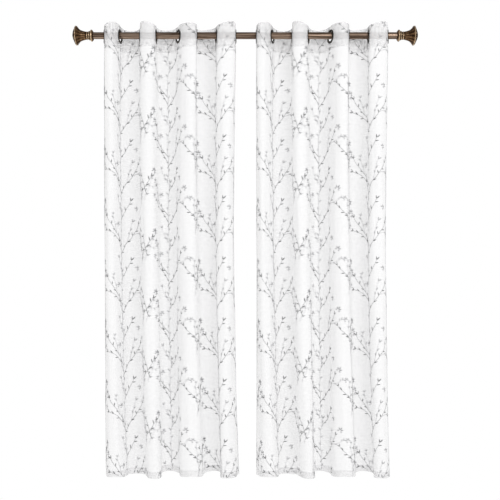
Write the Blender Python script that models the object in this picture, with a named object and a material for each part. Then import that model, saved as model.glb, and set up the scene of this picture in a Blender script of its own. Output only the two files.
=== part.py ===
"""A pair of sheer voile curtain panels that hang by eyelets from a rod with trumpet finials.

Metres, +Z up. The origin is the middle of the rod's axis. +X runs along the rod, the room is
at -Y and the wall at +Y. Each panel is one sheet of cloth: a doubled heading with eight round
eyelets, then a single layer down to a turned-up hem. It goes behind and before the rod in
turn, which makes four folds towards the room and three towards the wall.
"""
import math

import bmesh
import bpy
import numpy as np
from mathutils import Matrix

# Cloth: an 84 inch drop, cut 52 inches wide
PANEL_WIDTH = 1.320
PANEL_DROP = 2.134
HEADING_RISE = 0.045
HEADING_FOOT = HEADING_RISE - 0.100
HEM_FOOT = HEADING_RISE - PANEL_DROP
HEM_DEPTH = 0.030
HEADING_THICK = 0.0024
CLOTH_THICK = 0.0016
HEM_THICK = 0.0022
EDGE_STEP = 0.002

# Eyelets: 66 mm rings with a 42 mm hole, evenly spaced along the cloth
EYELETS = 8
EYELET_INSET = 0.044
EYELET_PITCH = (PANEL_WIDTH - 2 * EYELET_INSET) / (EYELETS - 1)
RING_OUTER = 0.0330
RING_HOLE = 0.0212
RING_BARREL = 0.0229
RING_SIDES = 16
LIP_PROUD = 0.0006
DOME_PROUD = 0.0016
FIT_GAP = 0.0003
HOLE_RADIUS = RING_BARREL + 0.00036
CUTTER_REACH = 0.012

# Rod and finials
ROD_RADIUS = 0.015875
ROD_LENGTH = 1.440
ROD_SIDES = 32
FINIAL_SIDES = 24
FINIAL_LOBES = 12
LOBE_DEPTH = 0.035

# How the cloth lies: half the flat strip at each eyelet or fold line, at three levels
FLAT_AT_TOP = 0.016
FLAT_AT_EYELET = 0.034
FLAT_BELOW = 0.010
FLAT_TOP = 0.031
SETTLE_DEPTH = 0.50
ARC_STEPS = 6
DRAPE_LEVELS = (-0.16, -0.33, -0.56, -0.85, -1.18, -1.52, -1.82)

# One row for each eyelet, and the fold line that hangs from it, left to right.
# Columns: x at the heading, x halfway down, x at the hem, lean at the hem in degrees.
# Lean is how far the cloth turns off square to the rod: above 0 a fold narrows towards
# its crest, and below 0 its crest overhangs the next fold.
FOLD_LINES = (
    (0.000, 0.003, 0.011, 14),
    (0.075, 0.080, 0.106, 10),
    (0.169, 0.174, 0.198, 14),
    (0.246, 0.256, 0.272, -10),
    (0.351, 0.348, 0.360, 14),
    (0.438, 0.443, 0.468, 4),
    (0.532, 0.532, 0.557, -12),
    (0.624, 0.614, 0.632, 10),
)

# One row for each fold between two eyelets, left to right.
# Columns: rise of the top edge at its crest, rise of the hem at its crest.
FOLD_CRESTS = (
    (-0.003, 0.013),
    (-0.004, -0.013),
    (0.001, 0.007),
    (-0.002, 0.002),
    (-0.003, 0.012),
    (0.000, 0.002),
    (0.002, 0.008),
)

# How far the hem hangs lower at a panel's side edge, and at its eyelet's flat strip beside it
EDGE_SAGS = (0.010, 0.006)

# One row for each panel. Columns: name, x of its first eyelet, lean of each eyelet at the heading
PANELS = (
    ("left", -0.669, (12, 7, 9, -1, 27, -7, 10, 0)),
    ("right", 0.054, (0, 18, -3, 11, 21, 5, -2, 12)),
)

# Columns: distance out from the rod's end, radius
FINIAL_PROFILE = (
    (0.0003, 0.0000),
    (0.0003, 0.0170),
    (0.0025, 0.0225),
    (0.0090, 0.0278),
    (0.0150, 0.0235),
    (0.0172, 0.0195),
    (0.0195, 0.0206),
    (0.0222, 0.0190),
    (0.0245, 0.0160),
    (0.0295, 0.0182),
    (0.0425, 0.0208),
    (0.0545, 0.0238),
    (0.0645, 0.0285),
    (0.0720, 0.0362),
    (0.0772, 0.0430),
    (0.0805, 0.0465),
    (0.0860, 0.0405),
    (0.0920, 0.0280),
    (0.0965, 0.0160),
    (0.1005, 0.0000),
)
FLUTES_FROM = 0.0295
FLUTES_GROW_OVER = 0.020


def smooth(x):
    """0 below 0, 1 above 1, and an S curve between."""
    x = min(max(x, 0.0), 1.0)
    return x * x * (3 - 2 * x)


def material(name, colour, roughness, metallic=0.0, alpha=1.0):
    made = bpy.data.materials.new(name)
    made.use_nodes = True
    shader = made.node_tree.nodes["Principled BSDF"]
    shader.inputs["Base Color"].default_value = (*colour, 1.0)
    shader.inputs["Roughness"].default_value = roughness
    shader.inputs["Metallic"].default_value = metallic
    shader.inputs["Alpha"].default_value = alpha
    return made


def add_object(name, mesh, parent, place=None):
    made = bpy.data.objects.new(name, mesh)
    bpy.context.scene.collection.objects.link(made)
    made.parent = parent
    if place is not None:
        made.matrix_local = place
    return made


def shade_round(mesh, sharp_degrees):
    mesh.shade_smooth()
    mesh.set_sharp_from_angle(angle=math.radians(sharp_degrees))


def travel(number, lean):
    """Direction in plan of the cloth at an eyelet, going right: odd ones come to the room."""
    side = -1.0 if number % 2 == 0 else 1.0
    return np.array((math.sin(math.radians(lean)), side * math.cos(math.radians(lean))))


def bezier(start, along_start, end, along_end, reach, steps=48):
    """Points of a cubic curve that leaves start and meets end in the given directions."""
    t = np.linspace(0, 1, steps + 1)[:, None]
    a, b = start + reach * along_start, end - reach * along_end
    return (1 - t) ** 3 * start + 3 * t * (1 - t) ** 2 * a + 3 * t * t * (1 - t) * b + t**3 * end


def run_length(points):
    return float(np.linalg.norm(np.diff(points, axis=0), axis=1).sum())


def fold(start, along_start, end, along_end, flat):
    """The cloth's line in plan between two eyelets: flat, a rounded turn, flat, one pitch long."""
    a, b = start + flat * along_start, end - flat * along_end
    wanted = EYELET_PITCH - 2 * flat
    low, high = 0.0, 0.4
    for _ in range(40):
        reach = (low + high) / 2
        if run_length(bezier(a, along_start, b, along_end, reach)) < wanted:
            low = reach
        else:
            high = reach
    return np.vstack([start, bezier(a, along_start, b, along_end, reach), end])


def at_distances(points, distances):
    """The points of a line at the given distances along it."""
    along = np.concatenate([[0], np.cumsum(np.linalg.norm(np.diff(points, axis=0), axis=1))])
    return np.stack([np.interp(distances, along, points[:, k]) for k in (0, 1)], axis=1)


def flat_at(z):
    """Half the flat strip beside a fold line: short at the top edge, long across an eyelet."""
    if z > FLAT_TOP:
        return FLAT_AT_TOP
    settled = smooth((HEADING_FOOT - z) / SETTLE_DEPTH)
    return FLAT_AT_EYELET + settled * (FLAT_BELOW - FLAT_AT_EYELET)


def share_down(z):
    """0 down to the heading's foot, and 1 at the hem."""
    return max(0.0, (HEADING_FOOT - z) / (HEADING_FOOT - HEM_FOOT))


def fold_line_x(heading, halfway, hem, down):
    """The parabola through a fold line's three places."""
    slope = 4 * halfway - 3 * heading - hem
    bend = 2 * (heading + hem - 2 * halfway)
    return heading + slope * down + bend * down**2


def cloth_line(first_x, heading_leans, z):
    """The whole cloth in plan at a height, from its left edge to its right edge."""
    down = share_down(z)
    centres, ways = [], []
    for number, (heading, halfway, hem, hem_lean) in enumerate(FOLD_LINES):
        centres.append(np.array((first_x + fold_line_x(heading, halfway, hem, down), 0.0)))
        lean = heading_leans[number] + down**2 * (hem_lean - heading_leans[number])
        ways.append(travel(number, lean))
    inner = np.linspace(FLAT_AT_EYELET, EYELET_PITCH - FLAT_AT_EYELET, ARC_STEPS + 1)
    line = [centres[0] - EYELET_INSET * ways[0], centres[0] - FLAT_AT_EYELET * ways[0]]
    for n in range(EYELETS - 1):
        span = fold(centres[n], ways[n], centres[n + 1], ways[n + 1], flat_at(z))
        line.append(centres[n])
        line.extend(at_distances(span, inner))
    line.append(centres[-1])
    line.append(centres[-1] + FLAT_AT_EYELET * ways[-1])
    line.append(centres[-1] + EYELET_INSET * ways[-1])
    return np.array(line)


def crest_rise(column, edge_sags=(0.0, 0.0)):
    """One column of the crest table, eased from 0 at each fold line to the fold's own value."""
    share = np.linspace(FLAT_AT_EYELET, EYELET_PITCH - FLAT_AT_EYELET, ARC_STEPS + 1) / EYELET_PITCH
    at_edge, beside_edge = edge_sags
    rises = [-at_edge, -beside_edge]
    for row in FOLD_CRESTS:
        rises.append(0.0)
        rises.extend(row[column] * np.sin(math.pi * share) ** 2)
    return np.array(rises + [0.0, -beside_edge, -at_edge])


def side_step(line):
    """For each point of a line in plan, the step that moves both its stretches by one unit."""
    ways = np.diff(line, axis=0)
    ways /= np.linalg.norm(ways, axis=1)[:, None]
    squares = np.stack([-ways[:, 1], ways[:, 0]], axis=1)
    before = np.vstack([squares[:1], squares])
    after = np.vstack([squares, squares[-1:]])
    middle = before + after
    return 2 * middle / (middle**2).sum(axis=1)[:, None]


def cloth_levels():
    """Heights of the rows of points with the cloth's thickness there, from the top down."""
    rows = [(HEADING_RISE, HEADING_THICK), (FLAT_TOP, HEADING_THICK), (HEADING_FOOT, HEADING_THICK)]
    rows.append((HEADING_FOOT - EDGE_STEP, CLOTH_THICK))
    rows.extend((z, CLOTH_THICK) for z in DRAPE_LEVELS)
    rows.append((HEM_FOOT + HEM_DEPTH + EDGE_STEP, CLOTH_THICK))
    rows.append((HEM_FOOT + HEM_DEPTH, HEM_THICK))
    rows.append((HEM_FOOT, HEM_THICK))
    return rows


def cloth_mesh(name, first_x, heading_leans, voile):
    """A closed sheet: a front and a back skin over the same rows, joined round the rim."""
    skins = [[], []]
    top_rise, hem_rise = crest_rise(0), crest_rise(1, EDGE_SAGS)
    for z, thick in cloth_levels():
        line = cloth_line(first_x, heading_leans, z)
        heights = z + share_down(z) ** 2 * hem_rise + (top_rise if z == HEADING_RISE else 0.0)
        step = side_step(line) * thick / 2
        for skin, sign in zip(skins, (1, -1)):
            skin.append(np.column_stack([line + sign * step, heights]))
    front, back = (np.array(skin) for skin in skins)
    rows, columns = front.shape[:2]
    count = rows * columns
    points = np.vstack([front.reshape(-1, 3), back.reshape(-1, 3)])
    one = np.arange(count).reshape(rows, columns)
    two = one + count
    faces = []
    for r in range(rows - 1):
        for c in range(columns - 1):
            faces.append((one[r, c], one[r, c + 1], one[r + 1, c + 1], one[r + 1, c]))
            faces.append((two[r, c], two[r + 1, c], two[r + 1, c + 1], two[r, c + 1]))
    rim = np.concatenate([one[0, :-1], one[:-1, -1], one[-1, :0:-1], one[:0:-1, 0]])
    faces.extend((b, a, a + count, b + count) for a, b in zip(rim, np.roll(rim, -1)))
    mesh = bpy.data.meshes.new(name)
    mesh.from_pydata(points.tolist(), [], [[int(v) for v in f] for f in faces])
    shape = bmesh.new()
    shape.from_mesh(mesh)
    bmesh.ops.recalc_face_normals(shape, faces=shape.faces)
    shape.to_mesh(mesh)
    shape.free()
    mesh.materials.append(voile)
    shade_round(mesh, 40)
    return mesh


def eyelet_drop(lean):
    """How far an eyelet's centre hangs below the rod's axis when it sits on the rod.

    Seen along the rod its hole is an ellipse, narrowed by its lean and its own thickness. The
    drop is the largest one that keeps the ellipse outside the rod.
    """
    turn = math.radians(abs(lean))
    reach = RING_HOLE * math.cos(math.pi / RING_SIDES)
    lip = HEADING_THICK / 2 + FIT_GAP + LIP_PROUD
    around = np.linspace(0, math.pi, 361)
    across = np.maximum(0, reach * np.abs(np.cos(around)) * math.cos(turn) - lip * math.sin(turn))
    low, high = 0.0, reach
    for _ in range(30):
        drop = (low + high) / 2
        nearest = np.hypot(across, reach * np.sin(around) - drop).min()
        if nearest > ROD_RADIUS + FIT_GAP:
            low = drop
        else:
            high = drop
    return low


def eyelet_place(first_x, number, lean):
    """Where an eyelet sits: its own Z axis is square to the cloth."""
    way = travel(number, lean)
    turn = Matrix.Rotation(math.atan2(way[1], way[0]), 4, "Z") @ Matrix.Rotation(math.pi / 2, 4, "X")
    return Matrix.Translation((first_x + FOLD_LINES[number][0], 0, -eyelet_drop(lean))) @ turn


def spun(name, profile, sides, closed):
    """A profile of (distance along Z, radius) turned once about Z."""
    shape = bmesh.new()
    verts = [shape.verts.new((r, 0, z)) for z, r in profile]
    ends = list(zip(verts, verts[1:] + verts[:1])) if closed else list(zip(verts, verts[1:]))
    edges = [shape.edges.new(pair) for pair in ends]
    bmesh.ops.spin(
        shape, geom=verts + edges, cent=(0, 0, 0), axis=(0, 0, 1),
        angle=2 * math.pi, steps=sides, use_merge=True,
    )
    bmesh.ops.remove_doubles(shape, verts=shape.verts, dist=0.00001)
    bmesh.ops.recalc_face_normals(shape, faces=shape.faces)
    mesh = bpy.data.meshes.new(name)
    shape.to_mesh(mesh)
    shape.free()
    return mesh


def ring_mesh(metal):
    """An eyelet's section: a barrel through the cloth, with a domed flange on each face."""
    clear = HEADING_THICK / 2 + FIT_GAP
    dome = clear + DOME_PROUD
    lip = clear + LIP_PROUD
    middle = (RING_HOLE + RING_OUTER) / 2
    section = (
        (lip, RING_HOLE), (dome, middle), (clear, RING_OUTER), (clear, RING_BARREL),
        (-clear, RING_BARREL), (-clear, RING_OUTER), (-dome, middle), (-lip, RING_HOLE),
    )
    mesh = spun("eyelet_ring", section, RING_SIDES, closed=True)
    mesh.materials.append(metal)
    shade_round(mesh, 50)
    return mesh


def bar_mesh(name, half, radius, sides):
    """A round bar along Z with flat ends."""
    section = ((-half, 0), (-half, radius), (half, radius), (half, 0))
    return spun(name, section, sides, closed=False)


def finial_mesh(antique):
    """A collar, a bead and a fluted trumpet with a domed, fluted end."""
    mesh = spun("finial", FINIAL_PROFILE, FINIAL_SIDES, closed=False)
    mesh.materials.append(antique)
    for vertex in mesh.vertices:
        if vertex.co.z > FLUTES_FROM:
            angle = math.atan2(vertex.co.y, vertex.co.x)
            depth = LOBE_DEPTH * smooth((vertex.co.z - FLUTES_FROM) / FLUTES_GROW_OVER)
            scale = 1 - depth * (0.5 - 0.5 * math.cos(FINIAL_LOBES * angle))
            vertex.co.x *= scale
            vertex.co.y *= scale
    shade_round(mesh, 60)
    return mesh


def hang_panel(side, first_x, heading_leans, parent, voile, ring, cutter):
    """One panel with its eyelets, and the holes cut for them."""
    name = f"panel_{side}"
    panel = add_object(name, cloth_mesh(name, first_x, heading_leans, voile), parent)
    for number, lean in enumerate(heading_leans):
        place = eyelet_place(first_x, number, lean)
        add_object(f"eyelet_{side}_{number + 1}", ring, parent, place)
        hole = add_object(f"hole_{side}_{number + 1}", cutter, parent, place)
        hole.hide_render = True
        hole.display_type = "WIRE"
        cut = panel.modifiers.new(f"hole_{number + 1}", "BOOLEAN")
        cut.operation = "DIFFERENCE"
        cut.object = hole


def add_rod(parent, bronze, antique):
    """The rod along X, with a finial facing outwards at each end."""
    along_x = Matrix.Rotation(math.pi / 2, 4, "Y")
    bar = bar_mesh("rod", ROD_LENGTH / 2, ROD_RADIUS, ROD_SIDES)
    bar.materials.append(bronze)
    shade_round(bar, 40)
    add_object("rod", bar, parent, along_x)
    turned = finial_mesh(antique)
    right = Matrix.Translation((ROD_LENGTH / 2, 0, 0)) @ along_x
    left = Matrix.Rotation(math.pi, 4, "Z") @ right
    add_object("finial_left", turned, parent, left)
    add_object("finial_right", turned, parent, right)


def main():
    for old in list(bpy.data.objects):
        bpy.data.objects.remove(old)
    hung = bpy.data.objects.new("curtain_pair", None)
    bpy.context.scene.collection.objects.link(hung)
    bronze = material("brushed_bronze", (0.24, 0.16, 0.11), 0.45, metallic=0.3)
    antique = material("antique_bronze", (0.30, 0.18, 0.08), 0.40, metallic=0.7)
    add_rod(hung, bronze, antique)
    voile = material("voile", (0.93, 0.93, 0.94), 0.9, alpha=0.55)
    ring = ring_mesh(material("eyelet_metal", (0.23, 0.21, 0.19), 0.35, metallic=1.0))
    cutter = bar_mesh("eyelet_hole", CUTTER_REACH, HOLE_RADIUS, RING_SIDES)
    for side, first_x, heading_leans in PANELS:
        hang_panel(side, first_x, heading_leans, hung, voile, ring, cutter)


main()
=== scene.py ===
# %% [markdown]
# # A pair of sheer voile curtains on a bronze rod
# Two panels of thin white voile hang by metal eyelets from a round rod with trumpet finials.
# The solid parts come packed, and this lesson dresses them: cloth fine enough to see through,
# a printed twig pattern that follows every fold, sewn hems, and worn bronze on the metal.
# Everything is in metres, with the origin in the middle of the rod and the room at -Y.

import math

import bpy
import numpy as np
from mathutils import Matrix, Vector


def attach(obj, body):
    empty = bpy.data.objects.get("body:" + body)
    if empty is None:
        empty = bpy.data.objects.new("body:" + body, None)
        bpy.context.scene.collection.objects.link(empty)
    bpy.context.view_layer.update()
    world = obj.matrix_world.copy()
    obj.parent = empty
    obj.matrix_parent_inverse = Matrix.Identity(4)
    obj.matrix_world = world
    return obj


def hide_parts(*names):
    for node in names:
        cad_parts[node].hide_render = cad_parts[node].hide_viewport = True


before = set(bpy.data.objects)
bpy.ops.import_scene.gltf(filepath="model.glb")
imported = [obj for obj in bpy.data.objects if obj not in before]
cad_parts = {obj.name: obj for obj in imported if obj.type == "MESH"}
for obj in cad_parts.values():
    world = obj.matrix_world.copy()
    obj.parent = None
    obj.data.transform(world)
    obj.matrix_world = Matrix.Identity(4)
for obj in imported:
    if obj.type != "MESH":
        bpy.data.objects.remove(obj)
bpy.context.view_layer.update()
print("packed nodes:", len(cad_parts))

# %% [markdown]
# ## Camera and light
# A catalogue picture of curtains is taken level, at about half their height, from far enough
# to keep both panels upright. White cloth on a white ground is lit from all round, so that
# only the folds shade each other. One large soft lamp from the front right gives them a side,
# and a weak one at the left and one behind fill in. A single brightness of the world would
# not do for all: the camera has to see pure white, cloth lit by as much would lose its folds,
# and metal needs something darker to mirror. A Light Path node tells these rays apart.

# %% Place the camera
CAMERA_PLACE = (0.023, -3.3, -1.018)
VIEW_WIDTH = 2.375
SENSOR_WIDTH = 36.0

camera_data = bpy.data.cameras.new("camera")
camera_data.sensor_width = SENSOR_WIDTH
camera_data.lens = SENSOR_WIDTH * -CAMERA_PLACE[1] / VIEW_WIDTH
camera = bpy.data.objects.new("camera", camera_data)
camera.location = CAMERA_PLACE
camera.rotation_euler = (math.pi / 2, 0, 0)
bpy.context.scene.collection.objects.link(camera)
bpy.context.scene.camera = camera
print("lens in mm:", round(camera_data.lens, 2))

# %% Light the studio
SEEN_WHITE, LIGHTING_WHITE, MIRRORED_WHITE = 1.0, 0.76, 0.22
LOOKED_AT = (0.0, 0.0, -0.9)

bpy.context.scene.view_settings.view_transform = "Standard"
world = bpy.data.worlds.new("white_studio")
world.use_nodes = True
studio = world.node_tree
background = studio.nodes["Background"]
background.inputs["Color"].default_value = (1.0, 1.0, 1.0, 1.0)
ray = studio.nodes.new("ShaderNodeLightPath")
seen, mirrored = studio.nodes.new("ShaderNodeMix"), studio.nodes.new("ShaderNodeMix")
seen.inputs["A"].default_value = LIGHTING_WHITE
seen.inputs["B"].default_value = SEEN_WHITE
mirrored.inputs["B"].default_value = MIRRORED_WHITE
studio.links.new(ray.outputs["Is Camera Ray"], seen.inputs["Factor"])
studio.links.new(ray.outputs["Is Glossy Ray"], mirrored.inputs["Factor"])
studio.links.new(seen.outputs["Result"], mirrored.inputs["A"])
studio.links.new(mirrored.outputs["Result"], background.inputs["Strength"])
bpy.context.scene.world = world


def soft_lamp(name, place, size, watts):
    """A square area lamp at a place, turned to face the middle of the curtains."""
    data = bpy.data.lights.new(name, "AREA")
    data.shape = "SQUARE"
    data.size = size
    data.energy = watts
    lamp = bpy.data.objects.new(name, data)
    lamp.location = place
    way = Vector(LOOKED_AT) - lamp.location
    lamp.rotation_euler = way.to_track_quat("-Z", "Y").to_euler()
    bpy.context.scene.collection.objects.link(lamp)


soft_lamp("key_lamp", (1.9, -4.3, 0.5), 2.2, 74.0)
soft_lamp("fill_lamp", (-2.6, -3.9, -0.6), 2.6, 14.0)
soft_lamp("back_lamp", (-1.8, 4.2, 0.3), 2.6, 30.0)
print("white seen:", SEEN_WHITE, "white that lights the cloth:", LIGHTING_WHITE)

# %% [markdown]
# ## A material kit
# Each finish is one Principled shader. What several of them need, such as noise drawn out
# along one axis, is a node group: built once, and placed with its own values.

# %% Build materials from nodes
NOISE_DETAIL = 3.0


def add_node(tree, kind, values=(), **settings):
    """A node with its settings made, and the values of its inputs set by name."""
    node = tree.nodes.new(kind)
    for key, value in settings.items():
        setattr(node, key, value)
    for key, value in dict(values).items():
        node.inputs[key].default_value = value
    return node


def new_material(name, colour, roughness, metallic=0.0, alpha=1.0):
    """A Principled material with plain values, and its tree and shader to add nodes to."""
    made = bpy.data.materials.new(name)
    made.use_nodes = True
    shader = made.node_tree.nodes["Principled BSDF"]
    shader.inputs["Base Color"].default_value = (*colour, 1.0)
    shader.inputs["Roughness"].default_value = roughness
    shader.inputs["Metallic"].default_value = metallic
    shader.inputs["Alpha"].default_value = alpha
    return made, made.node_tree, shader


def new_group(name, inputs, outputs):
    """An empty shader node group with its sockets, and its two ends."""
    tree = bpy.data.node_groups.new(name, "ShaderNodeTree")
    for label, kind, value in inputs:
        socket = tree.interface.new_socket(label, in_out="INPUT", socket_type=kind)
        if value is not None:
            socket.default_value = value
    for label, kind in outputs:
        tree.interface.new_socket(label, in_out="OUTPUT", socket_type=kind)
    return tree, tree.nodes.new("NodeGroupInput"), tree.nodes.new("NodeGroupOutput")


def use_group(tree, group, values=()):
    """The group placed in a material, with its own values."""
    node = tree.nodes.new("ShaderNodeGroup")
    node.node_tree = group
    for key, value in dict(values).items():
        node.inputs[key].default_value = value
    return node


def drawn_noise_group():
    """Noise stretched by a scale for each axis: streaks in metal, slubs in thread."""
    tree, start, end = new_group(
        "drawn_noise",
        (
            ("Vector", "NodeSocketVector", None),
            ("Scale", "NodeSocketVector", (1.0, 1.0, 1.0)),
            ("Low", "NodeSocketFloat", 0.35),
            ("High", "NodeSocketFloat", 0.65),
        ),
        (("Mask", "NodeSocketFloat"),),
    )
    stretch = add_node(tree, "ShaderNodeVectorMath", operation="MULTIPLY")
    noise = add_node(tree, "ShaderNodeTexNoise", {"Scale": 1.0, "Detail": NOISE_DETAIL})
    ramp = add_node(tree, "ShaderNodeMapRange")
    tree.links.new(start.outputs["Vector"], stretch.inputs[0])
    tree.links.new(start.outputs["Scale"], stretch.inputs[1])
    tree.links.new(stretch.outputs["Vector"], noise.inputs["Vector"])
    tree.links.new(noise.outputs["Fac"], ramp.inputs["Value"])
    tree.links.new(start.outputs["Low"], ramp.inputs["From Min"])
    tree.links.new(start.outputs["High"], ramp.inputs["From Max"])
    tree.links.new(ramp.outputs["Result"], end.inputs["Mask"])
    return tree


DRAWN_NOISE = drawn_noise_group()


def noise_over(tree, scale, **ends):
    """The mask of noise drawn out by a scale for each axis, over the object's own metres."""
    place = add_node(tree, "ShaderNodeTexCoord")
    noise = use_group(tree, DRAWN_NOISE, {"Scale": scale, **ends})
    tree.links.new(place.outputs["Object"], noise.inputs["Vector"])
    return noise.outputs["Mask"]


def colours_by(tree, mask, low, high, socket):
    """Mixes two colours by a mask into a socket."""
    mix = add_node(tree, "ShaderNodeMix", data_type="RGBA")
    mix.inputs["A"].default_value = (*low, 1.0)
    mix.inputs["B"].default_value = (*high, 1.0)
    tree.links.new(mask, mix.inputs["Factor"])
    tree.links.new(mix.outputs["Result"], socket)


def spread_by(tree, mask, low, high, socket):
    """Carries a mask from 0..1 to low..high and into a socket."""
    ramp = add_node(tree, "ShaderNodeMapRange", {"To Min": low, "To Max": high})
    tree.links.new(mask, ramp.inputs["Value"])
    tree.links.new(ramp.outputs["Result"], socket)


def bump_by(tree, height, shader, distance, strength=1.0):
    """A Bump node that feeds the shader's Normal from a height."""
    bump = add_node(tree, "ShaderNodeBump", {"Distance": distance, "Strength": strength})
    tree.links.new(height, bump.inputs["Height"])
    tree.links.new(bump.outputs["Normal"], shader.inputs["Normal"])


# %% [markdown]
# ## Surfaces from arrays
# Every new piece is a list of points and of four-sided faces, worked out as whole arrays and
# put into the mesh at once. A face lists its corners anticlockwise as seen from outside.

# %% Put arrays into a mesh
def put_piece(name, points, faces, finishes, choices=None, uv=None, ends=(), sharp=40):
    """A piece from points (n, 3) and quads (m, 4), with round end faces as lists of corners."""
    used, compact = np.unique(faces, return_inverse=True)
    compact = compact.reshape(faces.shape).astype(np.int32)
    place_of = np.full(len(points), -1)
    place_of[used] = np.arange(len(used))
    corners = [place_of[np.array(end)] for end in ends]
    flat = np.concatenate([compact.ravel(), *corners]).astype(np.int32)
    sizes = np.array([4] * len(faces) + [len(end) for end in ends])
    starts = np.concatenate([[0], np.cumsum(sizes)[:-1]]).astype(np.int32)
    mesh = bpy.data.meshes.new(name)
    mesh.vertices.add(len(used))
    mesh.vertices.foreach_set("co", points[used].astype(np.float32).ravel())
    mesh.loops.add(len(flat))
    mesh.loops.foreach_set("vertex_index", flat)
    mesh.polygons.add(len(sizes))
    mesh.polygons.foreach_set("loop_start", starts)
    for finish in finishes:
        mesh.materials.append(finish)
    if choices is not None:
        mesh.polygons.foreach_set("material_index", choices.astype(np.int32))
    if uv is not None:
        layer = mesh.uv_layers.new(name="cloth")
        layer.data.foreach_set("uv", uv[used][flat].astype(np.float32).ravel())
    mesh.update(calc_edges=True)
    mesh.validate()
    mesh.shade_smooth()
    mesh.set_sharp_from_angle(angle=math.radians(sharp))
    piece = bpy.data.objects.new(name, mesh)
    bpy.context.scene.collection.objects.link(piece)
    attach(piece, "root")
    print(name, "has", len(sizes), "faces")
    return piece


# %% [markdown]
# ## How the cloth lies
# A real panel is a flat cut, 1.32 m wide and 2.134 m long, threaded on the rod: it passes in
# front of the rod and behind it by turns. It could be simulated, but the picture shows where
# each fold hangs, and a simulation would put them elsewhere. So each fold line is charted at
# the heading, halfway down and at the hem, as the solid has it, and at every height the
# cloth's line in plan is worked out from them with its true length kept.

# %% Chart the folds
PANEL_WIDTH, PANEL_DROP = 1.320, 2.134
HEADING_RISE = 0.045
HEADING_FOOT = HEADING_RISE - 0.100
TAPE_FOOT = HEADING_FOOT - 0.012
HEM_FOOT = HEADING_RISE - PANEL_DROP
HEM_DEPTH = 0.030
EYELETS, EYELET_INSET = 8, 0.044
EYELET_PITCH = (PANEL_WIDTH - 2 * EYELET_INSET) / (EYELETS - 1)
FLAT_AT_TOP, FLAT_AT_EYELET, FLAT_BELOW = 0.016, 0.034, 0.010
FLAT_TOP, SETTLE_DEPTH = 0.031, 0.50

# x at the heading, x halfway down, x at the hem, lean at the hem in degrees
FOLD_LINES = np.array((
    (0.000, 0.003, 0.011, 14),
    (0.075, 0.080, 0.106, 10),
    (0.169, 0.174, 0.198, 14),
    (0.246, 0.256, 0.272, -10),
    (0.351, 0.348, 0.360, 14),
    (0.438, 0.443, 0.468, 4),
    (0.532, 0.532, 0.557, -12),
    (0.624, 0.614, 0.632, 10),
))
# How far the top edge and the hem rise at the crest of each fold between two eyelets
TOP_RISES = np.array((-0.003, -0.004, 0.001, -0.002, -0.003, 0.000, 0.002))
HEM_RISES = np.array((0.013, -0.013, 0.007, 0.002, 0.012, 0.002, 0.008))
# How far the top edge tips, up on the left of a fold's crest and down on its right
TOP_TIPS = np.array((-0.004, 0.000, 0.006, 0.002, 0.002, -0.002, -0.006))
EDGE_SAG, BESIDE_EDGE_SAG = 0.010, 0.006
# Name, x of the first eyelet, lean of each eyelet at the heading in degrees
PANELS = (
    ("left", -0.669, np.array((12, 7, 9, -1, 27, -7, 10, 0))),
    ("right", 0.054, np.array((0, 18, -3, 11, 21, 5, -2, 12))),
)

# The grid of the cloth: columns along its width, rows down its length
COLUMN_STEP = 0.0055
COLUMNS = round(PANEL_WIDTH / COLUMN_STEP) + 1
PER_PITCH = round(EYELET_PITCH / COLUMN_STEP)
PER_INSET = round(EYELET_INSET / COLUMN_STEP)
ALONG = np.arange(COLUMNS) * COLUMN_STEP
BAND_ENDS = (HEADING_RISE, HEADING_FOOT, TAPE_FOOT, HEM_FOOT + HEM_DEPTH, HEM_FOOT)
BAND_ROWS = (20, 2, 100, 4)
ROW_HEIGHTS = np.concatenate([[HEADING_RISE]] + [
    np.linspace(top, foot, rows + 1)[1:]
    for top, foot, rows in zip(BAND_ENDS, BAND_ENDS[1:], BAND_ROWS)
])
ROWS = len(ROW_HEIGHTS)
HEADING_ROWS, HEM_ROWS = BAND_ROWS[0] + BAND_ROWS[1], BAND_ROWS[3]
print("cloth grid:", ROWS, "rows of", COLUMNS, "columns")


# %% Work out the line of the cloth in plan
def eased(x):
    """0 below 0, 1 above 1, and between them 3 x squared less 2 x cubed."""
    x = np.clip(x, 0.0, 1.0)
    return x * x * (3 - 2 * x)


def share_down(heights):
    """0 down to the heading's foot, and 1 at the hem."""
    return np.maximum(0.0, (HEADING_FOOT - heights) / (HEADING_FOOT - HEM_FOOT))


def fold_lines_at(heights, first_x, heading_leans):
    """Each fold line's place and the cloth's direction there, for every height.

    x is the parabola through the three charted places. The lean goes from the heading's to
    the hem's with the square of the share down. Even lines come to the room, odd ones go back.
    """
    down = share_down(heights)[:, None]
    heading, halfway, hem, hem_lean = FOLD_LINES.T
    slope, bend = 4 * halfway - 3 * heading - hem, 2 * (heading + hem - 2 * halfway)
    x = first_x + heading + slope * down + bend * down**2
    lean = np.radians(heading_leans + down**2 * (hem_lean - heading_leans))
    side = np.where(np.arange(EYELETS) % 2 == 0, -1.0, 1.0)
    ways = np.stack([np.sin(lean), side * np.cos(lean)], axis=-1)
    return np.stack([x, np.zeros_like(x)], axis=-1), ways


def half_flats(heights):
    """Half the flat strip beside a fold line: long across an eyelet, short above and below."""
    settled = eased((HEADING_FOOT - heights) / SETTLE_DEPTH)
    at_top = np.clip((heights - FLAT_TOP) / (HEADING_RISE - FLAT_TOP), 0, 1)
    flat = FLAT_AT_EYELET + settled * (FLAT_BELOW - FLAT_AT_EYELET)
    return flat + at_top * (FLAT_AT_TOP - FLAT_AT_EYELET)


CURVE_POINTS, LONGEST_HANDLE, HALVINGS = 49, 0.4, 40


def cubic(count, a, b, c, d):
    """Points of the cubic curve from a to d that b and c lead.

    The four weights are the terms of one less t, plus t, all cubed.
    """
    t = np.linspace(0, 1, count)[:, None]
    return (1 - t) ** 3 * a + 3 * t * (1 - t) ** 2 * b + 3 * t * t * (1 - t) * c + t**3 * d


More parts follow.
